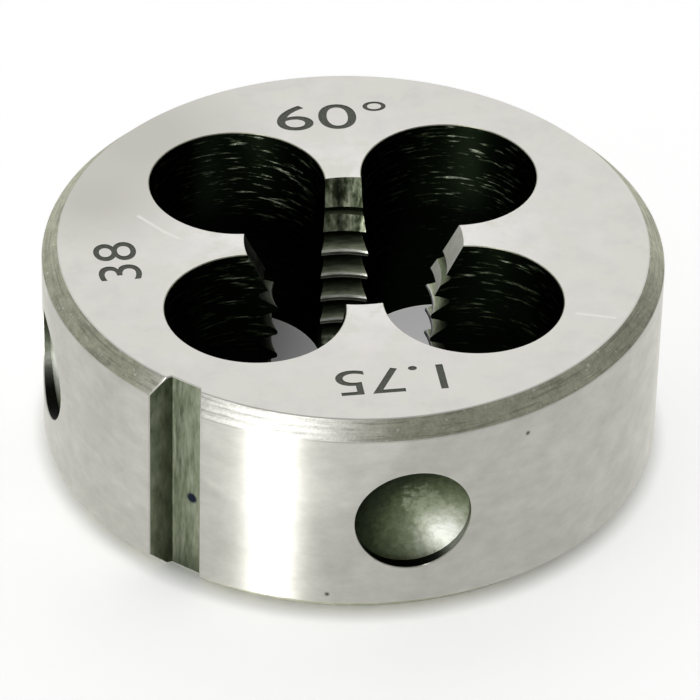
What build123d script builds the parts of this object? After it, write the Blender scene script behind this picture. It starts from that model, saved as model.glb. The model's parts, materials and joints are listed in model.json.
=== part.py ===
from build123d import *
import math
import os

# Round threading die: one disc of hardened steel that cuts an outside thread
# on a rod. Millimetres. The origin is the centre of the lower face, and +Z runs
# along the axis of the thread. The lands that carry the teeth stand on +X, +Y,
# -X and -Y, with a chip hole between each pair of them.

# Disc
outside_diameter = 38.0
thickness = 14.0
edge_chamfer = 1.0

# Thread: metric form, right hand
thread_diameter = 12.0
thread_pitch = 1.75
flank_angle = 60.0  # between the two flanks of one thread groove
thread_start_height = 1.23  # where a thread groove crosses the +X land

# Lead: the cone at each face that starts the rod and cuts the first teeth back
lead_mouth_margin = 0.7  # how far the mouth reaches outside the thread
lead_depth = 3.8

# Chip holes
land_count = 4
land_width = 2.25  # the narrowest part of a land, between two chip holes
rim_wall = 4.25  # between a chip hole and the rim

# Adjusting groove: a flat-bottomed V down the rim, where the die can be slit
groove_angle = 230.6  # round the axis, from +X
groove_depth = 1.33
groove_floor_width = 2.05
groove_side_angle = 66.0  # between the two sides

# Screw seats: shallow drilled dimples in the rim, halfway up
seat_angles_from_groove = (-135.0, -45.0, 45.0, 135.0)
seat_diameter = 7.0
seat_wall_depth = 0.75
seat_point_angle = 150.0

# How far a cutting shape runs past the surface that it cuts
overrun = 1.0

# Worked out from the sizes above
outside_radius = outside_diameter / 2
thread_radius = thread_diameter / 2
sharp_tooth_height = thread_pitch / 2 / math.tan(math.radians(flank_angle / 2))
tooth_height = 17 / 24 * sharp_tooth_height  # as at the root of a metric bolt
tooth_tip_radius = thread_radius - tooth_height
lead_mouth_radius = thread_radius + lead_mouth_margin

# Each chip hole touches two circles: one a rim wall inside the disc, and the
# line that leaves half a land beside it.
half_hole_step = math.radians(180 / land_count)
chip_hole_radius = (
    (outside_radius - rim_wall) * math.sin(half_hole_step) - land_width / 2
) / (1 + math.sin(half_hole_step))
chip_hole_circle_radius = outside_radius - rim_wall - chip_hole_radius

# Thread tap: the shape that the threaded bore is cut with, a plain core with
# the thread ridge wound round it. Both run past the two faces of the disc.
ridge_turns = math.ceil(thickness / thread_pitch) + 3
ridge_start_height = thread_start_height - 2 * thread_pitch
ridge_length = ridge_turns * thread_pitch
ridge_tip_half_width = thread_pitch / 16
ridge_foot_radius = tooth_tip_radius - overrun / 4
ridge_foot_half_width = ridge_tip_half_width + (
    thread_radius - ridge_foot_radius
) * math.tan(math.radians(flank_angle / 2))

with BuildPart() as thread_tap:
    with BuildLine() as ridge_path:
        Helix(
            pitch=thread_pitch,
            height=ridge_length,
            radius=tooth_tip_radius,
            center=(0, 0, ridge_start_height),
        )
    with BuildSketch(Plane.XZ) as ridge_section:
        with BuildLine():
            Polyline(
                (ridge_foot_radius, ridge_start_height - ridge_foot_half_width),
                (thread_radius, ridge_start_height - ridge_tip_half_width),
                (thread_radius, ridge_start_height + ridge_tip_half_width),
                (ridge_foot_radius, ridge_start_height + ridge_foot_half_width),
                close=True,
            )
        make_face()
    sweep(path=ridge_path.wires()[0], is_frenet=True)
    with Locations((0, 0, ridge_start_height)):
        Cylinder(
            tooth_tip_radius,
            ridge_length,
            align=(Align.CENTER, Align.CENTER, Align.MIN),
        )

# Seat drill: a straight wall with a flat cone under it. Its zero lies on the
# rim and it points down its own axis.
seat_radius = seat_diameter / 2
seat_depth = seat_wall_depth + seat_radius / math.tan(
    math.radians(seat_point_angle / 2)
)

with BuildPart() as seat_drill:
    with BuildSketch(Plane.XZ) as seat_section:
        with BuildLine():
            Polyline(
                (0, -seat_depth),
                (seat_radius, -seat_wall_depth),
                (seat_radius, overrun),
                (0, overrun),
                close=True,
            )
        make_face()
    revolve(axis=Axis.Z)


def rim_plane(angle):
    """The plane that touches the rim halfway up, facing outwards at this angle."""
    outwards = Vector(1, 0, 0).rotate(Axis.Z, angle)
    middle = outwards * outside_radius + Vector(0, 0, thickness / 2)
    return Plane(origin=middle, x_dir=(0, 0, 1), z_dir=outwards)


seat_planes = [rim_plane(groove_angle + angle) for angle in seat_angles_from_groove]

# The two faces, each looking into the disc
face_planes = [
    Plane(origin=(0, 0, 0), z_dir=(0, 0, 1)),
    Plane(origin=(0, 0, thickness), z_dir=(0, 0, -1)),
]

groove_floor_radius = outside_radius - groove_depth
groove_mouth_half_width = groove_floor_width / 2 + (
    groove_depth + overrun
) * math.tan(math.radians(groove_side_angle / 2))

with BuildPart() as threading_die:
    # The disc, with its two chamfered edges
    Cylinder(
        outside_radius,
        thickness,
        align=(Align.CENTER, Align.CENTER, Align.MIN),
    )
    chamfer(threading_die.edges().filter_by(GeomType.CIRCLE), edge_chamfer)

    # The threaded bore
    add(thread_tap.part, mode=Mode.SUBTRACT)

    # The lead at each face, which cuts the first teeth back to a cone
    with Locations(*face_planes):
        Cone(
            lead_mouth_radius,
            tooth_tip_radius,
            lead_depth,
            align=(Align.CENTER, Align.CENTER, Align.MIN),
            mode=Mode.SUBTRACT,
        )

    # The chip holes, which leave the lands with their teeth between them
    with PolarLocations(
        chip_hole_circle_radius, land_count, start_angle=180 / land_count
    ):
        Hole(chip_hole_radius)

    # The adjusting groove, the full height of the rim
    with BuildSketch(Plane.XY.rotated((0, 0, groove_angle))) as groove_section:
        with BuildLine():
            Polyline(
                (groove_floor_radius, -groove_floor_width / 2),
                (outside_radius + overrun, -groove_mouth_half_width),
                (outside_radius + overrun, groove_mouth_half_width),
                (groove_floor_radius, groove_floor_width / 2),
                close=True,
            )
        make_face()
    extrude(amount=thickness, mode=Mode.SUBTRACT)

    # The screw seats
    with Locations(*seat_planes):
        add(seat_drill.part, mode=Mode.SUBTRACT)

threading_die.part.label = "threading_die"

os.makedirs("parts", exist_ok=True)
export_step(threading_die.part, "parts/threading_die.step")

solids = threading_die.part.solids()
print(f"solids {len(solids)}, faces {len(threading_die.part.faces())}")
print(f"valid {threading_die.part.is_valid}, volume {threading_die.part.volume:.1f} mm3")
print(f"chip holes: diameter {2 * chip_hole_radius:.2f}", end=" ")
print(f"on a circle of {2 * chip_hole_circle_radius:.2f} mm")
print(f"bore between tooth tips: {2 * tooth_tip_radius:.3f} mm")
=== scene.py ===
# %% [markdown]
# # A round threading die
#
# A threading die cuts the outside thread on a rod. It is one disc of hardened steel.
# Its bore is threaded, and four chip holes part the thread into four lands with teeth.
# The rim has a groove and four shallow seats for the screws of the holder.
#
# The plan follows the workshop: turn a blank, then cut the bore, the thread, the holes,
# the groove and the seats out of it with cutting shapes. Each cutter carries its own
# finish, so each cut surface comes out with the finish that its tool leaves.

import bmesh
import bpy
import json
import math
from mathutils import Matrix, Vector

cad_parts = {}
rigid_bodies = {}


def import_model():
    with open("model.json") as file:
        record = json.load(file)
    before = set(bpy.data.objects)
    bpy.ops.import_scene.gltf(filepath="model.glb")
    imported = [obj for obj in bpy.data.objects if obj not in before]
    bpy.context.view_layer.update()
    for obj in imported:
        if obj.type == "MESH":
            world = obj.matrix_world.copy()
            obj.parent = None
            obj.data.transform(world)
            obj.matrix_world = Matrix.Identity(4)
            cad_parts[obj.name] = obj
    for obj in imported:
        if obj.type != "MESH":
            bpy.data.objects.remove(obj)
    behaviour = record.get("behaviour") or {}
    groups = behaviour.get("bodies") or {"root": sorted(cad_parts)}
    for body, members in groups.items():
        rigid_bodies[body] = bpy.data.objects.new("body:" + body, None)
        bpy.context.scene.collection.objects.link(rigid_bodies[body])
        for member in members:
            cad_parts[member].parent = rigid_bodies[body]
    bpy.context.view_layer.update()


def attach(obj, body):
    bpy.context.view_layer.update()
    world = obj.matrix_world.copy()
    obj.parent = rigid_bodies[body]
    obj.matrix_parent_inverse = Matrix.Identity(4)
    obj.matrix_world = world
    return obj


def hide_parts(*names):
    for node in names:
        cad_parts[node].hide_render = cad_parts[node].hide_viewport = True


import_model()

# %% [markdown]
# ## Sizes
#
# The piece is made in millimetres, as a machinist would make it, and scaled to metres
# once it is finished. Every size below is one that the solid was made from, so the
# finished piece lies on the solid's own surface.

# %% Sizes in millimetres
MM = 0.001
outside_radius = 19.0
thickness = 14.0
edge_chamfer = 1.0

thread_radius = 6.0
thread_pitch = 1.75
half_flank_angle = math.radians(30)
thread_start_height = 1.23
tooth_height = 17 / 24 * thread_pitch / 2 / math.tan(half_flank_angle)
tooth_tip_radius = thread_radius - tooth_height
lead_mouth_radius = 6.7
lead_depth = 3.8

land_count = 4
land_width = 2.25
rim_wall = 4.25

groove_angle = math.radians(230.6)
groove_depth = 1.33
groove_floor_width = 2.05
groove_half_side_angle = math.radians(33)

seat_angles = [groove_angle + math.radians(turn) for turn in (-135, -45, 45, 135)]
seat_radius = 3.5
seat_wall_depth = 0.75
seat_half_point_angle = math.radians(75)

overrun = 1  # how far a cutter runs past the surface that it cuts

print("tooth tips at radius", round(tooth_tip_radius, 4), "mm")

# %% [markdown]
# ## The camera
#
# The camera looks down on the die from a little over a third of a metre, with a long
# lens, which keeps the two ends of the disc almost the same size. It is aimed at the
# axis of the thread, somewhat below the middle of the disc, and rolled by under two
# degrees, as a hand-held camera would be.


# %% Place the camera
def on_sphere(azimuth, elevation, distance=1.0):
    """A point at these angles, in degrees, seen from the origin."""
    across = distance * math.cos(math.radians(elevation))
    return Vector(
        (
            across * math.cos(math.radians(azimuth)),
            across * math.sin(math.radians(azimuth)),
            distance * math.sin(math.radians(elevation)),
        )
    )


camera_place = on_sphere(263.5, 37.35, 335.49) * MM
camera_aim = Vector((-0.056, 0.006, 5.64)) * MM
camera_roll = 1.43

camera_data = bpy.data.cameras.new("camera")
camera_data.lens = 276.3
camera_data.sensor_width = 36.0
camera_data.clip_start = 0.01
camera_data.clip_end = 10.0
camera = bpy.data.objects.new("camera", camera_data)
looking = (camera_aim - camera_place).to_track_quat("-Z", "Y").to_matrix()
rolled = looking @ Matrix.Rotation(math.radians(camera_roll), 3, "Z")
camera.matrix_world = Matrix.Translation(camera_place) @ rolled.to_4x4()
bpy.context.scene.collection.objects.link(camera)
bpy.context.scene.camera = camera
bpy.context.scene.view_settings.view_transform = "Standard"
print("camera at", [round(v, 4) for v in camera_place], "m")

# %% [markdown]
# ## Nodes for the finishes
#
# A finish is a small network of shader nodes. Writing each node out takes four or five
# lines, so one helper makes a node, fills in its sockets and links those that are given
# another node's output.


# %% A helper for shader nodes
def add_node(tree, kind, inputs=None, **settings):
    """Makes a node. A socket given another node's output is linked, any other is set."""
    made = tree.nodes.new(kind)
    for name, value in settings.items():
        setattr(made, name, value)
    for name, value in (inputs or {}).items():
        if isinstance(value, bpy.types.NodeSocket):
            tree.links.new(value, made.inputs[name])
        else:
            made.inputs[name].default_value = value
    return made


def math_of(tree, operation, first, second=0.0, clamp=False):
    """The output of one Math node."""
    made = add_node(tree, "ShaderNodeMath", {0: first, 1: second}, operation=operation)
    made.use_clamp = clamp
    return made.outputs[0]


def vector_of(tree, operation, first, second=(0.0, 0.0, 0.0)):
    """The output of one Vector Math node: a number or a vector, as the operation gives."""
    made = add_node(
        tree, "ShaderNodeVectorMath", {0: first, 1: second}, operation=operation
    )
    gives_number = operation in ("DOT_PRODUCT", "DISTANCE", "LENGTH")
    return made.outputs["Value" if gives_number else "Vector"]


def scaled(tree, vector, factor):
    """A vector times a number."""
    made = add_node(
        tree, "ShaderNodeVectorMath", {0: vector, "Scale": factor}, operation="SCALE"
    )
    return made.outputs["Vector"]


def noise_of(tree, vector, scale, detail=2.0, roughness=0.5):
    """A cloudy value from 0 to 1, with a blotch every 1/scale mm or so."""
    made = add_node(
        tree,
        "ShaderNodeTexNoise",
        {"Vector": vector, "Scale": scale, "Detail": detail, "Roughness": roughness},
    )
    return made.outputs[0]


def remapped(tree, value, low, high, new_low=0.0, new_high=1.0):
    """A value taken from one range to another and kept inside it."""
    made = add_node(
        tree,
        "ShaderNodeMapRange",
        {0: value, 1: low, 2: high, 3: new_low, 4: new_high},
    )
    return made.outputs[0]


def mixed_colour(tree, share, first, second):
    """Two colours mixed: the first where share is 0, the second where it is 1."""
    made = add_node(tree, "ShaderNodeMix", data_type="RGBA")
    for index, value in ((0, share), (6, first), (7, second)):
        if isinstance(value, bpy.types.NodeSocket):
            tree.links.new(value, made.inputs[index])
        else:
            made.inputs[index].default_value = value
    return made.outputs[2]


def graded_colour(tree, value, stops):
    """A colour read off stops, (value, colour) pairs in rising order."""
    lowest, highest = stops[0][0], stops[-1][0]
    share = remapped(tree, value, lowest, highest)
    made = add_node(tree, "ShaderNodeValToRGB", {0: share})
    elements = made.color_ramp.elements
    elements.remove(elements[1])
    for index, (at, colour) in enumerate(stops):
        position = (at - lowest) / (highest - lowest)
        element = elements.new(position) if index else elements[0]
        element.position = position
        element.color = (*colour, 1)
    return made.outputs["Color"]


# %% [markdown]
# ## Where a tool has been
#
# A turning or drilling tool leaves fine rings round its own axis, and a milling cutter
# leaves streaks along its way. Such marks spread a highlight across themselves, so a
# turned rim shows a long upright glint. Both effects need one thing: the direction
# across the marks. It is stored on every face as the vector attribute across_marks.
# On turned and drilled walls it is simply the axis of the tool.


# %% Measure along and across the marks
def place_in_mm(tree):
    """The place on the die in millimetres."""
    place = add_node(tree, "ShaderNodeTexCoord").outputs["Object"]
    return scaled(tree, place, 1 / MM)


def distance_towards(tree, direction):
    """How far the place lies in this direction from the origin, in mm."""
    return vector_of(tree, "DOT_PRODUCT", place_in_mm(tree), direction)


def across_marks(tree):
    """The direction across the tool marks."""
    stored = add_node(tree, "ShaderNodeAttribute", attribute_name="across_marks")
    return stored.outputs["Vector"]


def stretched_along_marks(tree, mark_length, mark_width):
    """The place in mm, squeezed so that noise in it draws marks of this size."""
    across = across_marks(tree)
    distance_across = distance_towards(tree, across)
    squeeze = math_of(
        tree, "MULTIPLY", distance_across, 1 / mark_width - 1 / mark_length
    )
    return vector_of(
        tree,
        "ADD",
        scaled(tree, place_in_mm(tree), 1 / mark_length),
        scaled(tree, across, squeeze),
    )


def ridges(tree, spacing, unevenness):
    """Even tool ridges across the marks, from 0 to 1, with this spacing in mm."""
    distance_across = distance_towards(tree, across_marks(tree))
    drift = noise_of(tree, place_in_mm(tree), 0.25, 2.0)
    phase = math_of(
        tree,
        "ADD",
        math_of(tree, "MULTIPLY", distance_across, math.tau / spacing),
        math_of(tree, "MULTIPLY", drift, unevenness),
    )
    return remapped(tree, math_of(tree, "SINE", phase), -1.0, 1.0)


# %% [markdown]
# ## Marks of use
#
# A tool that has been handled has a few single marks: a scratch, a pit, a spot of dirt.
# Each is a mask that is 1 on the mark and 0 off it, worked out from the distance to a
# point or to a line on the steel, so it stays where it is from any side. Two more
# measures help to place wear: how far from the axis, and which way the steel faces.


# %% Masks for single marks
def near_point(tree, centre, inner, outer):
    """1 within inner mm of a point, falling to 0 at outer mm."""
    gap = vector_of(tree, "DISTANCE", place_in_mm(tree), centre)
    return remapped(tree, gap, inner, outer, 1.0, 0.0)


def near_line(tree, start, end, half_width):
    """1 on the straight line between two points, 0 beside it."""
    from_start = vector_of(tree, "SUBTRACT", place_in_mm(tree), start)
    way = Vector(end) - Vector(start)
    along = vector_of(tree, "DOT_PRODUCT", from_start, tuple(way))
    share = math_of(tree, "MULTIPLY", along, 1 / way.length_squared, clamp=True)
    gap = vector_of(tree, "DISTANCE", from_start, scaled(tree, tuple(way), share))
    return remapped(tree, gap, 0.0, half_width, 1.0, 0.0)


def from_die_axis(tree):
    """The distance from the axis of the thread, in mm."""
    flat_place = vector_of(tree, "MULTIPLY", place_in_mm(tree), (1.0, 1.0, 0.0))
    return vector_of(tree, "LENGTH", flat_place)


def facing(tree, direction):
    """1 where the steel faces this way, 0 where it is edge on, -1 where it faces away."""
    normal = add_node(tree, "ShaderNodeTexCoord").outputs["Normal"]
    return vector_of(tree, "DOT_PRODUCT", normal, direction)


# %% [markdown]
# ## The finishes
#
# All of them are bare steel, so the metallic share starts at 1. They differ in colour,
# in how rough they are, in how far their marks spread the light, and in the relief of
# those marks. A table would hide that, so each finish gets its own cell.


# %% What all finishes share
finishes = {}


def start_finish(name, colour, roughness, spread):
    """A steel finish. spread is how far its marks draw out a glint."""
    steel = bpy.data.materials.new(name)
    steel.use_nodes = True
    tree = steel.node_tree
    shader = tree.nodes["Principled BSDF"]
    shader.inputs["Metallic"].default_value = 1.0
    shader.inputs["Base Color"].default_value = (*colour, 1)
    shader.inputs["Roughness"].default_value = roughness
    shader.inputs["Anisotropic"].default_value = spread
    if spread:
        tree.links.new(across_marks(tree), shader.inputs["Tangent"])
    finishes[name] = steel
    return tree, shader


def give_colour(tree, shader, colour):
    """Lets a colour that varies over the steel reach the shader."""
    tree.links.new(colour, shader.inputs["Base Color"])


def give_relief(tree, shader, height, depth_mm):
    """Turns a 0 to 1 height into relief of this depth."""
    bump = add_node(
        tree,
        "ShaderNodeBump",
        {"Height": height, "Strength": 1.0, "Distance": depth_mm * MM},
    )
    tree.links.new(bump.outputs[0], shader.inputs["Normal"])


# %% [markdown]
# ### Lapped face
#
# The two faces are lapped flat, so they have no direction, only a fine grain. They are
# brightest near the holes, where the lap and the fingers polish them. Greasy smudges
# dull them in large soft patches, and two darker stains run together on one side. Two
# shallow scratches show on the upper face. One of them bends, so it is drawn as two
# lines.

# %% Lapped face
tree, shader = start_finish("lapped_face", (0.70, 0.68, 0.66), 0.32, 0.0)
place = place_in_mm(tree)
tone = graded_colour(
    tree,
    from_die_axis(tree),
    [(7.0, (0.80, 0.78, 0.75)), (12.0, (0.71, 0.69, 0.66)), (18.0, (0.67, 0.66, 0.62))],
)
clouds = noise_of(tree, place, 0.5, 4.0, 0.6)
tone = scaled(tree, tone, remapped(tree, clouds, 0.3, 0.7, 0.95, 1.05))
smudges = noise_of(tree, place, 0.45, 6.0, 0.7)
greasy = remapped(tree, smudges, 0.48, 0.58, 0.0, 0.9)
tone = mixed_colour(tree, greasy, tone, (0.69, 0.69, 0.63, 1))
for x, y, inner, outer in ((-12.0, 12.0, 2.0, 9.0), (-15.5, 5.5, 1.0, 6.0)):
    stain = near_point(tree, (x, y, thickness), inner, outer)
    tone = mixed_colour(tree, stain, tone, (0.55, 0.54, 0.49, 1))
for start, end in (
    ((12.6, -8.5), (14.8, -9.1)),
    ((-12.9, 3.4), (-11.4, 1.6)),
    ((-11.4, 1.6), (-10.6, 0.9)),
):
    scratch = near_line(tree, (*start, thickness), (*end, thickness), 0.17)
    tone = mixed_colour(tree, scratch, tone, (0.80, 0.79, 0.76, 1))
give_colour(tree, shader, tone)
grain = noise_of(tree, place, 9.0, 3.0)
tree.links.new(remapped(tree, grain, 0.2, 0.8, 0.28, 0.38), shader.inputs["Roughness"])
give_relief(tree, shader, grain, 0.004)

# %% [markdown]
# ### Turned chamfer
#
# A lathe tool leaves even ridges round a chamfer, about three to the millimetre, and
# tears short lines between them. Under a lamp they show as broken bright rings. The
# colour is duller than on the faces, with pale specks where the steel has been knocked.
# Beside the groove the chamfer is painted brighter, a painted highlight that widens the
# lamp's glint. A part to the right of it is painted darker, as painted shade.

# %% Turned chamfer
tree, shader = start_finish("turned_chamfer", (0.42, 0.42, 0.36), 0.56, 0.8)
place = place_in_mm(tree)
blotches = noise_of(tree, place, 1.2, 4.0, 0.6)
tone = graded_colour(
    tree, blotches, [(0.35, (0.4, 0.41, 0.31)), (0.65, (0.54, 0.54, 0.425))]
)
specks = remapped(tree, noise_of(tree, place, 3.2, 3.0), 0.64, 0.72)
tone = mixed_colour(tree, specks, tone, (0.7, 0.7, 0.63, 1))
# A painted highlight beside the groove widens the lamp's glint; painted shade darkens a
# part to the right.
chamfer_painted_highlight = near_point(tree, (-7.3, -16.9, 13.5), 4.2, 8.5)
tone = mixed_colour(tree, chamfer_painted_highlight, tone, (0.86, 0.86, 0.8, 1))
chamfer_painted_shade = near_point(tree, (16.2, -8.6, 13.5), 2.0, 7.0)
tone = scaled(tree, tone, remapped(tree, chamfer_painted_shade, 0.0, 1.0, 1.0, 0.72))
tears = noise_of(tree, stretched_along_marks(tree, 3.0, 0.11), 1.0, 4.0, 0.65)
tone = scaled(tree, tone, remapped(tree, tears, 0.38, 0.5, 0.74, 1.04))
grit = noise_of(tree, place, 6.0, 2.0)
tone = scaled(tree, tone, remapped(tree, grit, 0.3, 0.7, 0.9, 1.1))
give_colour(tree, shader, tone)
torn_ridges = math_of(tree, "ADD", ridges(tree, 0.3, 3.0), tears)
give_relief(tree, shader, torn_ridges, 0.025)

# %% [markdown]
# ### Ground rim
#
# A grinding wheel runs round the rim, so its lines are hair fine and lie level. They
# draw a lamp out into an upright band. Old oil leaves smears along the lines. Beside the
# groove the upper part of that band is painted brighter, a painted highlight. Two small
# pits have lost their shine.

# %% Ground rim
tree, shader = start_finish("ground_rim", (0.68, 0.67, 0.61), 0.42, 1.0)
lines = noise_of(tree, stretched_along_marks(tree, 6.0, 0.05), 1.0, 2.0)
clouds = noise_of(tree, place_in_mm(tree), 0.35, 4.0, 0.6)
tone = graded_colour(
    tree, clouds, [(0.3, (0.66, 0.655, 0.595)), (0.7, (0.76, 0.75, 0.69))]
)
smears = noise_of(tree, stretched_along_marks(tree, 1.6, 0.8), 1.0, 5.0, 0.7)
tone = scaled(tree, tone, remapped(tree, smears, 0.3, 0.7, 0.92, 1.08))
# A painted highlight brightens the upper part of the rim's glint band.
rim_painted_highlight = near_point(tree, (-6.2, -18.0, 14.5), 7.3, 7.9)
tone = scaled(tree, tone, remapped(tree, rim_painted_highlight, 0.0, 1.0, 1.0, 1.14))
for place_of_pit in ((8.67, -16.91, 11.63), (-3.2, -18.73, 1.62)):
    pit = near_point(tree, place_of_pit, 0.05, 0.2)
    tone = mixed_colour(tree, pit, tone, (0.12, 0.12, 0.1, 1))
give_colour(tree, shader, tone)
give_relief(tree, shader, lines, 0.003)

# %% [markdown]
# ### Drilled chip hole
#
# The holes are never ground after hardening, so they keep its dark scale. The drill
# tears short dashes round the wall. Their bright colour is a painted glint, set where a
# lamp would catch them: high up on the wall that faces the front, and more in the two
# holes at the back. Elsewhere they hardly show. The same mask lifts the scale a little
# there, as painted light.

# %% Drilled chip hole
tree, shader = start_finish("scaled_hole", (0.03, 0.036, 0.024), 0.36, 0.6)
shader.inputs["Specular Tint"].default_value = (0.3, 0.34, 0.28, 1)
dashes = noise_of(tree, stretched_along_marks(tree, 1.7, 0.21), 1.0, 3.0, 0.6)
dashes = remapped(tree, dashes, 0.57, 0.76)
# Painted light: the dashes are painted bright only where a lamp would glint on them.
hole_painted_glint_side = remapped(tree, facing(tree, tuple(on_sphere(254, 0))), 0.6, 0.97)
hole_painted_glint_height = remapped(tree, distance_towards(tree, (0.0, 0.0, 1.0)), 7.3, 9.5)
to_the_back = distance_towards(tree, (0.0, 1.0, 0.0))
hole_painted_glint_back = remapped(tree, to_the_back, -5.0, 2.0, 0.2, 1.0)
hole_painted_glint = math_of(tree, "MULTIPLY", hole_painted_glint_side, hole_painted_glint_height)
hole_painted_glint = math_of(tree, "MULTIPLY", hole_painted_glint, hole_painted_glint_back)
shown = math_of(tree, "MULTIPLY", dashes, remapped(tree, hole_painted_glint, 0.0, 1.0, 0.1, 1.0))
tone = graded_colour(
    tree,
    shown,
    [(0.0, (0.004, 0.006, 0.004)), (0.2, (0.05, 0.065, 0.035)), (0.7, (0.7, 0.78, 0.6))],
)
# Painted light also lifts the scale a little where the glint is painted.
tone = vector_of(tree, "ADD", tone, scaled(tree, (0.012, 0.02, 0.009), hole_painted_glint))
give_colour(tree, shader, tone)
give_relief(tree, shader, dashes, 0.12)

# %% [markdown]
# ### Thread flank
#
# The flanks are dark with scale, with fine streaks along the thread. Painted shade makes
# them near black at the root of the thread, and a painted highlight brightens the worn
# edge of each tooth, which is also worn steel. Flanks that face down get painted shade.
# The land on -X gets painted shade and the land on +X painted light.


# %% Thread flank
def brighter_to_the_right(tree, colour, left, right):
    """Scales a colour: by left at the -X land, by 1 midway, by right at the +X land."""
    to_the_right = distance_towards(tree, (1.0, 0.0, 0.0))
    low_side = remapped(tree, to_the_right, -5.0, -1.2, left, 1.0)
    high_side = remapped(tree, to_the_right, 1.2, 5.0, 1.0, right)
    return scaled(tree, scaled(tree, colour, low_side), high_side)


tree, shader = start_finish("cut_flank", (0.16, 0.17, 0.13), 0.42, 0.6)
# Painted shade at the root of the thread and a painted highlight on each tooth's worn
# edge.
tone = graded_colour(
    tree,
    from_die_axis(tree),
    [
        (tooth_tip_radius + 0.07, (0.98, 1.0, 0.88)),
        (tooth_tip_radius + 0.13, (0.42, 0.46, 0.33)),
        (thread_radius - 0.5, (0.13, 0.155, 0.095)),
        (thread_radius, (0.015, 0.02, 0.01)),
    ],
)
flecks = noise_of(tree, stretched_along_marks(tree, 1.0, 0.14), 1.0, 3.0, 0.6)
tone = scaled(tree, tone, remapped(tree, flecks, 0.35, 0.65, 0.65, 1.2))
# Flanks that face down get painted shade.
upwards = facing(tree, (0.0, 0.0, 1.0))
tone = scaled(tree, tone, remapped(tree, upwards, -0.5, 0.1, 0.2, 1.0))
# The land on -X gets painted shade and the land on +X painted light.
give_colour(tree, shader, brighter_to_the_right(tree, tone, 0.3, 1.6))
give_relief(tree, shader, flecks, 0.03)

# %% [markdown]
# ### Tooth crest
#
# The flat top of each tooth looks straight across the dark bore. It keeps its scale,
# and only its worn edge, which belongs to the flank here, catches the light.

# %% Tooth crest
tree, shader = start_finish("tooth_crest", (0.1, 0.11, 0.085), 0.45, 0.3)
lines = noise_of(tree, stretched_along_marks(tree, 0.8, 0.1), 1.0, 2.0)
tone = graded_colour(
    tree, lines, [(0.4, (0.06, 0.065, 0.05)), (0.7, (0.16, 0.17, 0.13))]
)
give_colour(tree, shader, tone)
give_relief(tree, shader, lines, 0.01)

# %% [markdown]
# ### Ground lead
#
# The lead is ground with the die held still, so its marks run up the cone, and the
# wheel has chattered: dark upright bars with bright ones between them. The darkest bar
# is where the wheel was lifted off. On the land on +X a painted highlight makes the steel
# almost white and less metallic; the land on -X is painted darker, as painted shade.

# %% Ground lead
tree, shader = start_finish("ground_lead", (0.22, 0.23, 0.18), 0.45, 0.4)
upright = vector_of(tree, "MULTIPLY", place_in_mm(tree), (1.8, 1.8, 0.35))
bars = noise_of(tree, upright, 1.0, 3.0, 0.6)
tone = graded_colour(
    tree,
    bars,
    [(0.38, (0.03, 0.038, 0.02)), (0.5, (0.14, 0.16, 0.105)), (0.64, (0.33, 0.36, 0.26))],
)
to_the_right = distance_towards(tree, (1.0, 0.0, 0.0))
off_the_bar = math_of(tree, "ABSOLUTE", math_of(tree, "ADD", to_the_right, 0.25))
tone = scaled(tree, tone, remapped(tree, off_the_bar, 0.08, 0.3, 0.4, 1.3))
# A painted highlight on the land on +X: almost white and less metallic.
lead_painted_highlight_share = remapped(tree, to_the_right, 1.2, 4.5)
lead_painted_highlight_colour = graded_colour(
    tree, bars, [(0.35, (0.85, 0.86, 0.76)), (0.65, (1.0, 1.0, 0.92))]
)
tree.links.new(remapped(tree, lead_painted_highlight_share, 0.0, 1.0, 1.0, 0.35), shader.inputs["Metallic"])
tone = mixed_colour(tree, lead_painted_highlight_share, tone, lead_painted_highlight_colour)
# The land on -X is painted darker, as painted shade.
give_colour(tree, shader, brighter_to_the_right(tree, tone, 0.15, 1.0))
give_relief(tree, shader, bars, 0.03)

# %% [markdown]
# ### Milled groove
#
# The cutter leaves torn, upright streaks, and scale stays between them. A ramp across
# the groove paints light and shade: painted shade in the corner between the floor and one
# side, the darkest place, and painted light growing towards the floor's other side.
# One spot of dirt sits on the floor.

# %% Milled groove
tree, shader = start_finish("milled_groove", (0.24, 0.28, 0.19), 0.36, 0.5)
streaks = noise_of(tree, stretched_along_marks(tree, 1.5, 0.3), 1.0, 4.0, 0.6)
tone = graded_colour(
    tree,
    streaks,
    [(0.3, (0.11, 0.13, 0.08)), (0.5, (0.21, 0.24, 0.162)), (0.7, (0.305, 0.335, 0.25))],
)
off_middle = distance_towards(tree, across_marks(tree))
# Painted shade in the corner and painted light towards the other side, across the groove.
groove_painted_shade_and_light = graded_colour(
    tree,
    off_middle,
    [
        (-1.9, (0.55, 0.55, 0.52)),
        (-1.25, (0.28, 0.29, 0.26)),
        (-1.02, (0.3, 0.31, 0.28)),
        (-0.95, (1.4, 1.4, 1.4)),
        (-0.7, (0.9, 0.9, 0.9)),
        (0.4, (1.0, 1.0, 1.0)),
        (1.0, (1.35, 1.3, 1.35)),
        (1.9, (2.0, 1.9, 2.0)),
    ],
)
tone = vector_of(tree, "MULTIPLY", tone, groove_painted_shade_and_light)
dirt = near_point(tree, (-10.89, -13.92, 5.55), 0.26, 0.42)
give_colour(tree, shader, mixed_colour(tree, dirt, tone, (0.01, 0.016, 0.03, 1)))
give_relief(tree, shader, streaks, 0.04)

# %% [markdown]
# ### Drilled seat
#
# A seat keeps its dark scale. Low down on one side its colour carries a painted highlight,
# where a lamp would glint, and it fades with the distance from that place into the
# scale, which is darkest farthest away. Round the drill's point the steel is a little
# paler.
# Noise frays every border. On two of the seats the painted highlight is on the other side.
# The short walls are darker than the cone, and darkest where they face up or down.

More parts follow.
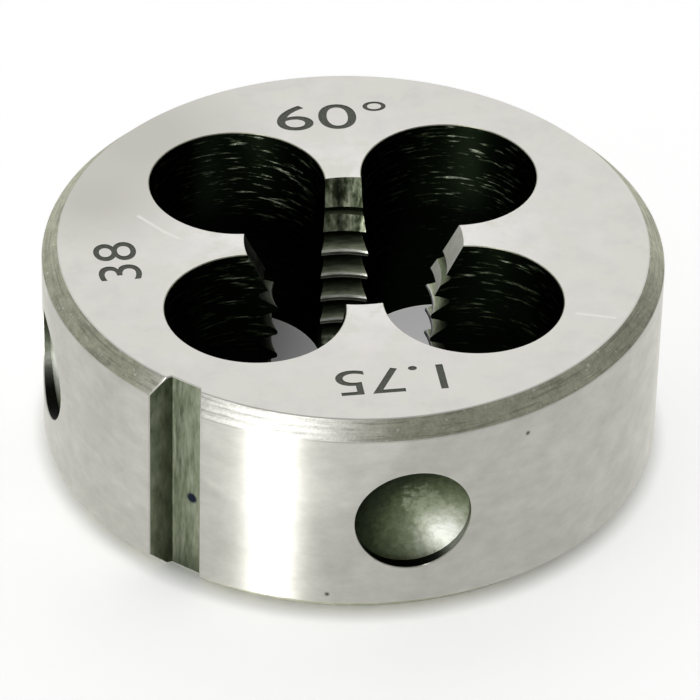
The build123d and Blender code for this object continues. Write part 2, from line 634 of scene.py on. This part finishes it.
# %% Drilled seat
tree, shader = start_finish("drilled_seat", (0.2, 0.215, 0.16), 0.48, 0.75)
sideways = vector_of(tree, "CROSS_PRODUCT", (0.0, 0.0, 1.0), across_marks(tree))
front_or_right = vector_of(tree, "DOT_PRODUCT", across_marks(tree), (1.0, -1.0, 0.0))
which_side = math_of(tree, "SIGN", front_or_right)
to_the_side = math_of(
    tree, "MULTIPLY", distance_towards(tree, sideways), which_side
)
height = distance_towards(tree, (0.0, 0.0, 1.0))
above_middle = math_of(tree, "SUBTRACT", height, thickness / 2)
on_seat = add_node(tree, "ShaderNodeCombineXYZ", {"X": to_the_side, "Y": above_middle})
# Painted highlight: the colour is brightest low on one side and fades into the dark scale.
from_seat_painted_highlight = vector_of(tree, "DISTANCE", on_seat.outputs[0], (2.15, -1.85, 0.0))
fray = noise_of(tree, place_in_mm(tree), 2.4, 4.0, 0.65)
from_seat_painted_highlight = math_of(
    tree, "ADD", from_seat_painted_highlight, remapped(tree, fray, 0.3, 0.7, 0.38, -0.38)
)
tone = graded_colour(
    tree,
    from_seat_painted_highlight,
    [
        (0.5, (0.78, 0.8, 0.73)),
        (1.3, (0.5, 0.53, 0.43)),
        (2.2, (0.24, 0.275, 0.18)),
        (3.0, (0.125, 0.15, 0.087)),
        (4.0, (0.055, 0.07, 0.036)),
        (4.6, (0.025, 0.034, 0.017)),
        (5.8, (0.006, 0.009, 0.004)),
    ],
)
from_point = vector_of(tree, "DISTANCE", on_seat.outputs[0], (0.75, 0.4, 0.0))
from_point = math_of(
    tree, "SUBTRACT", from_point, remapped(tree, fray, 0.3, 0.7, -0.8, 0.8)
)
tip_mark = remapped(tree, from_point, 0.1, 1.2, 0.75, 0.0)
tone = mixed_colour(tree, tip_mark, tone, (0.32, 0.355, 0.25, 1))
along_drill = math_of(tree, "ABSOLUTE", facing(tree, across_marks(tree)))
upright = math_of(tree, "ABSOLUTE", facing(tree, (0.0, 0.0, 1.0)))
on_wall = remapped(tree, along_drill, 0.2, 0.7, 1.0, 0.0)
wall_level = remapped(tree, upright, 0.3, 0.9, 0.45, 0.03)
tone = scaled(tree, tone, remapped(tree, on_wall, 0.0, 1.0, 1.0, wall_level))
give_colour(tree, shader, tone)
give_relief(tree, shader, fray, 0.018)

# %% [markdown]
# ### Etched numbers
#
# Etching leaves a shallow, matt, dark floor, with a little steel showing through.

# %% Etched numbers
tree, shader = start_finish("etched_number", (0.06, 0.065, 0.055), 0.6, 0.0)
speckle = noise_of(tree, place_in_mm(tree), 6.0, 2.0)
tone = mixed_colour(tree, speckle, (0.065, 0.07, 0.058, 1), (0.18, 0.185, 0.16, 1))
give_colour(tree, shader, tone)
print("finishes:", ", ".join(finishes))

# %% [markdown]
# ## Turned shapes
#
# The blank, the chip drills, the lead cutters and the seat drill are all turned: an
# outline of radius and height, carried round an axis. Blender's Screw modifier does
# this too, but building the rings of vertices by hand closes the two ends with one
# flat face each, which the later cuts need.


# %% Turn an outline
def as_object(mesh_in_progress, name, finish):
    """Ends a bmesh and shows it as an object with one finish."""
    mesh = bpy.data.meshes.new(name)
    mesh_in_progress.to_mesh(mesh)
    mesh_in_progress.free()
    mesh.materials.append(finishes[finish])
    made = bpy.data.objects.new(name, mesh)
    bpy.context.scene.collection.objects.link(made)
    return made


def turned(name, outline, sides, finish):
    """A closed turned solid. outline is (radius, height) pairs, from low to high."""
    work = bmesh.new()
    rings = []
    for radius, height in outline:
        angles = [math.tau * k / sides for k in range(sides)]
        rings.append(
            [
                work.verts.new((radius * math.cos(a), radius * math.sin(a), height))
                for a in (angles if radius else [0.0])
            ]
        )
    for low, high in zip(rings, rings[1:]):
        for k in range(sides):
            after = (k + 1) % sides
            corners = [low[k % len(low)], low[after % len(low)]]
            corners += [high[after % len(high)], high[k % len(high)]]
            work.faces.new(list(dict.fromkeys(corners)))
    if len(rings[0]) > 1:
        work.faces.new(rings[0][::-1])
    if len(rings[-1]) > 1:
        work.faces.new(rings[-1])
    return as_object(work, name, finish)


# %% [markdown]
# ## The blank
#
# The blank is the disc before any hole is cut. Its outline runs up the lower chamfer,
# the rim and the upper chamfer. No real edge is perfectly sharp, and a rounded edge is
# what catches the light, so each corner gives way to a facet a twentieth of a
# millimetre across. The faces are lapped, the rim ground and the chamfers turned, so
# this is the one shape whose surfaces don't all share a finish: they are sorted by the
# way that they face.

# %% Turn the blank
face_radius = outside_radius - edge_chamfer
softening = 0.05
down_the_slope = 0.7 * softening
half_outline = [
    (face_radius - softening, 0),
    (face_radius + down_the_slope, down_the_slope),
    (outside_radius - down_the_slope, edge_chamfer - down_the_slope),
    (outside_radius, edge_chamfer + softening),
]
blank_outline = half_outline + [
    (radius, thickness - height) for radius, height in reversed(half_outline)
]
die = turned("threading_die_steel", blank_outline, 360, "lapped_face")
for name in ("turned_chamfer", "ground_rim"):
    die.data.materials.append(finishes[name])
for face in die.data.polygons:
    upright = abs(face.normal.z)
    if upright < 0.5:
        face.material_index = 2  # the rim
    elif upright < 0.8:
        face.material_index = 1  # a chamfer
print("blank:", len(die.data.polygons), "faces")


# %% [markdown]
# ## The tool rack
#
# A Boolean modifier takes closed shapes from a closed shape. Cutting step by step looks
# natural, but each result is rounded before the next cut, and on a thread those tiny
# errors add up until a wall is lost. So the cutters wait in a collection of their own,
# the tool rack, and one exact cut uses all of them at once, further down.

# %% Set up the tool rack
tool_rack = bpy.data.collections.new("tool_rack")


def rack(*cutters):
    """Keeps these cutters for the cut."""
    for cutter in cutters:
        tool_rack.objects.link(cutter)
        bpy.context.scene.collection.objects.unlink(cutter)


# %% [markdown]
# ## The thread
#
# A tap cuts the thread of the die. Its shape is a plain core with one ridge wound round
# it as a right-hand helix: up by one pitch for each turn. The ridge's foot lies inside
# the core, so the two overlap cleanly and no two of their faces coincide. Just above
# the core the ridge widens more steeply, which leaves each tooth with a slightly worn
# edge that shows as a bright line.


# %% Wind the thread ridge
def thread_ridge(steps_per_turn=180, turns=11):
    """The closed ridge that cuts the thread groove."""
    tip_half_width = thread_pitch / 16
    foot_radius = tooth_tip_radius - 0.1
    edge_radius = tooth_tip_radius + 0.06
    edge_half_width = tip_half_width + (thread_radius - edge_radius) * math.tan(
        half_flank_angle
    )
    worn_edge_slope = 1.7
    foot_half_width = edge_half_width + (edge_radius - foot_radius) * worn_edge_slope
    section = [
        (foot_radius, -foot_half_width),
        (edge_radius, -edge_half_width),
        (thread_radius, -tip_half_width),
        (thread_radius, tip_half_width),
        (edge_radius, edge_half_width),
        (foot_radius, foot_half_width),
    ]
    start_height = thread_start_height - 2 * thread_pitch
    work = bmesh.new()
    sections = []
    for k in range(steps_per_turn * turns + 1):
        angle = math.tau * k / steps_per_turn
        height = start_height + thread_pitch * k / steps_per_turn
        sections.append(
            [
                work.verts.new((r * math.cos(angle), r * math.sin(angle), height + z))
                for r, z in section
            ]
        )
    for here, there in zip(sections, sections[1:]):
        for k in range(len(section)):
            after = (k + 1) % len(section)
            work.faces.new((here[k], there[k], there[after], here[after]))
    work.faces.new(sections[0])
    work.faces.new(sections[-1][::-1])
    return as_object(work, "thread_ridge", "cut_flank")


core = turned(
    "tap_core",
    [(tooth_tip_radius, -overrun), (tooth_tip_radius, thickness + overrun)],
    180,
    "tooth_crest",
)
rack(core, thread_ridge())

# %% [markdown]
# ## The leads
#
# At each face a cone opens the bore. It cuts the first teeth back, so that the rod
# finds its way in and the load is shared between the first few teeth.


# %% Cut the leads
def lead_cutter(name):
    """A cone whose mouth is at the upper face. It runs past both of its ends."""
    slope = (lead_mouth_radius - tooth_tip_radius) / lead_depth
    depth = lead_depth + overrun / 2
    outline = [
        (lead_mouth_radius - slope * depth, thickness - depth),
        (lead_mouth_radius + slope * overrun, thickness + overrun),
    ]
    return turned(name, outline, 180, "ground_lead")


upper_lead = lead_cutter("upper_lead")
lower_lead = lead_cutter("lower_lead")
lower_lead.data.transform(
    Matrix.Translation((0, 0, thickness)) @ Matrix.Rotation(math.pi, 4, "X")
)
rack(upper_lead, lower_lead)

# %% [markdown]
# ## The chip holes
#
# Four drilled holes open into the bore. They give the chips somewhere to go, and their
# walls meet the thread in the cutting edges. Each hole is as large as the wall to the
# rim and the width of a land allow. Its two mouths have a hair of a chamfer.

# %% Drill the chip holes
half_step = math.pi / land_count
hole_radius = (
    (outside_radius - rim_wall) * math.sin(half_step) - land_width / 2
) / (1 + math.sin(half_step))
hole_circle = outside_radius - rim_wall - hole_radius
edge_break = 0.05


def chip_drill(index):
    """A drill with a small flare just past each face of the disc."""
    flare = edge_break + overrun
    drill = turned(
        f"chip_drill_{index}",
        [
            (hole_radius + flare, -overrun),
            (hole_radius, edge_break),
            (hole_radius, thickness - edge_break),
            (hole_radius + flare, thickness + overrun),
        ],
        180,
        "scaled_hole",
    )
    angle = half_step * (2 * index + 1)
    place = Vector((math.cos(angle), math.sin(angle), 0)) * hole_circle
    drill.data.transform(Matrix.Translation(place))
    return drill


rack(*[chip_drill(index) for index in range(land_count)])
print("chip holes:", round(2 * hole_radius, 3), "mm across")

# %% [markdown]
# ## The adjusting groove
#
# A milled V with a flat floor runs down the rim. The holder's pointed screw presses
# into it, and the die could be slit there to be adjusted.


# %% Mill the groove
def prism(name, outline, low, high, finish):
    """An upright prism on an outline of (x, y) points that runs anticlockwise."""
    work = bmesh.new()
    feet = [work.verts.new((x, y, low)) for x, y in outline]
    tops = [work.verts.new((x, y, high)) for x, y in outline]
    for k in range(len(outline)):
        after = (k + 1) % len(outline)
        work.faces.new((feet[k], feet[after], tops[after], tops[k]))
    work.faces.new(feet[::-1])
    work.faces.new(tops)
    return as_object(work, name, finish)


groove_floor = outside_radius - groove_depth
half_floor = groove_floor_width / 2
half_mouth = half_floor + (groove_depth + overrun) * math.tan(groove_half_side_angle)
groove_mill = prism(
    "groove_mill",
    [
        (groove_floor, -half_floor),
        (outside_radius + overrun, -half_mouth),
        (outside_radius + overrun, half_mouth),
        (groove_floor, half_floor),
    ],
    -overrun,
    thickness + overrun,
    "milled_groove",
)
groove_mill.data.transform(Matrix.Rotation(groove_angle, 4, "Z"))
rack(groove_mill)

# %% [markdown]
# ## The screw seats
#
# Half way up the rim are four shallow drilled seats for the clamping screws: a short
# straight wall and the flat cone of the drill point.


# %% Drill the seats
def seat_drill(index, angle):
    """A drill that stands on the rim and points at the axis of the die."""
    seat_depth = seat_wall_depth + seat_radius / math.tan(seat_half_point_angle)
    drill = turned(
        f"seat_drill_{index}",
        [(0, -seat_depth), (seat_radius, -seat_wall_depth), (seat_radius, overrun)],
        144,
        "drilled_seat",
    )
    lean = Matrix.Rotation(angle, 4, "Z") @ Matrix.Rotation(math.pi / 2, 4, "Y")
    place = Vector((math.cos(angle), math.sin(angle), 0)) * outside_radius
    place.z = thickness / 2
    drill.data.transform(Matrix.Translation(place) @ lean)
    return drill


rack(*[seat_drill(index, angle) for index, angle in enumerate(seat_angles)])

# %% [markdown]
# ## The numbers
#
# Such a die is marked on its upper face. Here it carries three plain numbers of its
# own: the flank angle, the pitch and the outside diameter. Text is a curve in Blender.
# Read back as a mesh it can be scaled to size, stood on the face and used as a cutter
# whose floor keeps the etched finish.


# %% Etch the numbers
def number_cutter(text, centre, width, height, bottom_angle):
    """Text of this size whose bottoms point at bottom_angle, in degrees."""
    etch_depth = 0.03
    half_height = 0.5
    curve = bpy.data.curves.new("number", "FONT")
    curve.body = text
    curve.extrude = half_height
    letters = bpy.data.objects.new("number", curve)
    bpy.context.scene.collection.objects.link(letters)
    evaluated = bpy.context.evaluated_depsgraph_get()
    mesh = bpy.data.meshes.new_from_object(letters.evaluated_get(evaluated))
    bpy.data.objects.remove(letters)
    work = bmesh.new()
    work.from_mesh(mesh)
    bmesh.ops.remove_doubles(work, verts=work.verts, dist=1e-5)
    bmesh.ops.recalc_face_normals(work, faces=work.faces)
    xs = [v.co.x for v in work.verts]
    ys = [v.co.y for v in work.verts]
    middle = Vector(((min(xs) + max(xs)) / 2, (min(ys) + max(ys)) / 2, 0))
    sizes = Matrix.Diagonal(
        (width / (max(xs) - min(xs)), height / (max(ys) - min(ys)), 1, 1)
    )
    turn = Matrix.Rotation(math.radians(bottom_angle + 90), 4, "Z")
    place = Vector((*centre, thickness + half_height - etch_depth))
    bmesh.ops.transform(
        work,
        matrix=Matrix.Translation(place) @ turn @ sizes @ Matrix.Translation(-middle),
        verts=work.verts,
    )
    return as_object(work, "number_cutter", "etched_number")


rack(
    number_cutter("60°", (-0.05, 13.45), 7.0, 2.9, 270),
    number_cutter("1.75", (0.79, -14.3), 6.5, 2.4, 93),
    number_cutter("38", (-14.5, -1.25), 3.9, 2.6, 5),
)

# %% [markdown]
# ## The cut
#
# The exact solver keeps every corner true, and in its Transfer mode each cut face keeps
# the material of the cutter that made it.

# %% Cut the die
step = die.modifiers.new("cut", "BOOLEAN")
step.operation = "DIFFERENCE"
step.solver = "EXACT"
step.material_mode = "TRANSFER"
step.operand_type = "COLLECTION"
step.collection = tool_rack
evaluated = bpy.context.evaluated_depsgraph_get()
cut_steel = bpy.data.meshes.new_from_object(die.evaluated_get(evaluated))
die.modifiers.clear()
die.data = cut_steel
for cutter in list(tool_rack.objects):
    bpy.data.objects.remove(cutter)
bpy.data.collections.remove(tool_rack)
inspection = bmesh.new()
inspection.from_mesh(cut_steel)
open_edges = sum(not edge.is_manifold for edge in inspection.edges)
print(len(inspection.faces), "faces,", open_edges, "open edges")
print("volume", round(inspection.calc_volume(), 1), "cubic mm")
inspection.free()

# %% [markdown]
# ## Broken edges
#
# A deburring stone has taken the sharpness off the mouths of the groove and the seats.
# Those edges are the ones between a milled or drilled surface and the outside of the
# blank, so their two materials tell where they are.

# %% Break the edges
mouth_break = 0.07
names = [m.name for m in die.data.materials]
outside = {names.index(n) for n in ("lapped_face", "turned_chamfer", "ground_rim")}
pockets = {names.index(n) for n in ("milled_groove", "drilled_seat")}
work = bmesh.new()
work.from_mesh(die.data)
mouths = [
    edge
    for edge in work.edges
    if len(edge.link_faces) == 2
    and {f.material_index for f in edge.link_faces} & outside
    and {f.material_index for f in edge.link_faces} & pockets
]
bmesh.ops.bevel(
    work,
    geom=mouths,
    offset=mouth_break,
    offset_type="OFFSET",
    segments=2,
    profile=0.5,
    affect="EDGES",
    clamp_overlap=False,
    material=names.index("ground_rim"),
)
open_edges = sum(not edge.is_manifold for edge in work.edges)
print(len(mouths), "edges broken,", open_edges, "open edges")
print("volume", round(work.calc_volume(), 1), "cubic mm")
work.to_mesh(die.data)
work.free()

# %% [markdown]
# ## Directions across the marks, and shading
#
# Each face now gets its across_marks vector. Rings round the main axis have it
# upright, the seats have their own drill's axis, and the groove has the direction
# square to its length. The hair of a chamfer at the mouth of each chip hole is bare
# steel, so it changes from the scaled finish to the turned one. Then the curved faces
# are smoothed, and every edge where two surfaces meet at an angle is kept crisp.


# %% Mark directions and smooth the curves
across = die.data.attributes.new("across_marks", "FLOAT_VECTOR", "FACE")
for face in die.data.polygons:
    direction = Vector((0, 0, 1))
    finish = names[face.material_index]
    if finish == "milled_groove":
        direction = Vector((-math.sin(groove_angle), math.cos(groove_angle), 0))
    elif finish == "drilled_seat":
        angle = math.atan2(face.center.y, face.center.x)
        nearest = min(seat_angles, key=lambda a: -math.cos(angle - a))
        direction = Vector((math.cos(nearest), math.sin(nearest), 0))
    elif finish == "scaled_hole" and abs(face.normal.z) > 0.3:
        face.material_index = names.index("turned_chamfer")
    across.data[face.index].vector = direction
die.data.polygons.foreach_set("use_smooth", [True] * len(die.data.polygons))
die.data.set_sharp_from_angle(angle=math.radians(20))
die.data.transform(Matrix.Scale(MM, 4))
die.data.update()
print("die:", len(die.data.polygons), "faces,", names)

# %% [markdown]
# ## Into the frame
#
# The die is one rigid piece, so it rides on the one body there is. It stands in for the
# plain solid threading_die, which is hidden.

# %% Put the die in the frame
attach(die, "root")
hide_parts("threading_die")

# %% [markdown]
# ## The floor
#
# Steel shows what is around it, so the surroundings matter as much as the lamps. The
# floor is pale, but a plain white floor would still look grey beside bright steel. So
# it also glows a little, though only as seen by the camera and by mirroring steel: the
# Light Path node tells. No light is added to the die. Under the die the glow is weaker,
# and weakest on the left, as on a floor that the die shades.

# %% Lay the floor
floor_mesh = bmesh.new()
reach = 1.5
corners = [(-reach, -reach), (reach, -reach), (reach, reach), (-reach, reach)]
floor_mesh.faces.new([floor_mesh.verts.new((x, y, 0)) for x, y in corners])
paint = bpy.data.materials.new("floor_paint")
paint.use_nodes = True
finishes["floor_paint"] = paint
floor = as_object(floor_mesh, "floor", "floor_paint")
tree = paint.node_tree
shader = tree.nodes["Principled BSDF"]
shader.inputs["Base Color"].default_value = (0.92, 0.92, 0.92, 1)
shader.inputs["Roughness"].default_value = 0.8
light_path = add_node(tree, "ShaderNodeLightPath").outputs
seen = math_of(tree, "ADD", light_path["Is Camera Ray"], light_path["Is Glossy Ray"])
seen = math_of(tree, "ADD", seen, light_path["Is Transmission Ray"], clamp=True)
from_axis = from_die_axis(tree)
to_the_right = distance_towards(tree, (1.0, 0.0, 0.0))
under_die = remapped(tree, to_the_right, -4.0, 4.0, 0.04, 0.3)
under_edge = remapped(tree, from_axis, 13.5, 15.0, under_die, 0.04)
clear_of_die = remapped(tree, from_axis, 17.8, 19.8, under_edge, 0.5)
glow = math_of(tree, "MULTIPLY", seen, clear_of_die)
lift = add_node(tree, "ShaderNodeEmission", {"Strength": glow})
lifted = add_node(
    tree, "ShaderNodeAddShader", {0: shader.outputs[0], 1: lift.outputs[0]}
)
tree.links.new(lifted.outputs[0], tree.nodes["Material Output"].inputs["Surface"])

# %% [markdown]
# ## The light
#
# Behind the die the studio is bright, which the flat face mirrors. The left is a little
# brighter than the rest, and above the camera it is dark, which the chamfer mirrors.
# One low lamp stands in front and to the left. It is there for its glints on the rim,
# the chamfer and the seat, and is kept off the floor so that the shadow stays soft.

# %% Light the studio
world = bpy.data.worlds.new("studio")
bpy.context.scene.world = world
world.use_nodes = True
tree = world.node_tree
backdrop = tree.nodes["Background"]
looking_at = add_node(tree, "ShaderNodeTexCoord").outputs["Generated"]
behind = vector_of(tree, "DOT_PRODUCT", looking_at, tuple(on_sphere(83.5, 30)))
level = remapped(tree, behind, 0.56, 0.9, 0.34, 1.0)
to_the_left = vector_of(tree, "DOT_PRODUCT", looking_at, tuple(on_sphere(190, 25)))
level = math_of(tree, "ADD", level, remapped(tree, to_the_left, 0.7, 0.97, 0.0, 0.3))
backdrop.inputs["Color"].default_value = (1, 1, 1, 1)
tree.links.new(level, backdrop.inputs["Strength"])

key_data = bpy.data.lights.new("key_lamp", "AREA")
key_data.shape = "RECTANGLE"
key_data.size = 0.095
key_data.size_y = 0.22
key_data.energy = 1.3
key = bpy.data.objects.new("key_lamp", key_data)
key.location = on_sphere(238.4, 18, 0.5)
key.rotation_mode = "QUATERNION"
key.rotation_quaternion = (-key.location).to_track_quat("-Z", "Y")
key.visible_diffuse = False
bpy.context.scene.collection.objects.link(key)

# %% [markdown]
